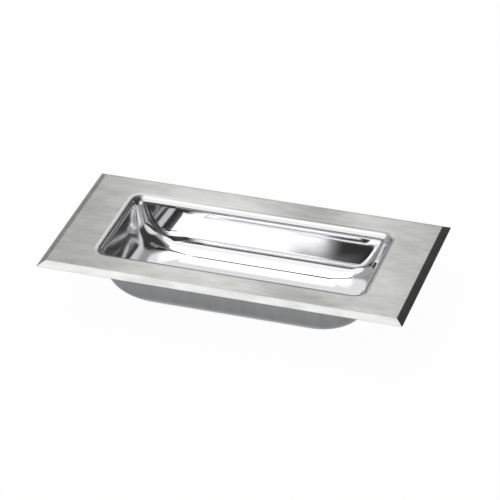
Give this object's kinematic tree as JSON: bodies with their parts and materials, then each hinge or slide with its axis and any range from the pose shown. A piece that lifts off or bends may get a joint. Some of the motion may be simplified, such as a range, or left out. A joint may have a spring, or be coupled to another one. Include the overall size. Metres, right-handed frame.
{
  "type": "recessed pull handle",
  "caption": "Rectangular flush pull in one drawn steel sheet: a bevelled satin flange round a polished, rounded finger pocket.",
  "frame": {"origin": "centre of the plane on which the flange's underside seats, level with the door's face", "axes": "+X along the pull's length, +Y across it, +Z out of the door; the pocket hangs to -Z"},
  "size_m": [0.127, 0.0636, 0.0203],
  "materials": {
    "stainless": "satin flange brushed along its length, mirror-polished pocket"
  },
  "bodies": {
    "root": {"pull": "stainless"}
  },
  "joints": []
}
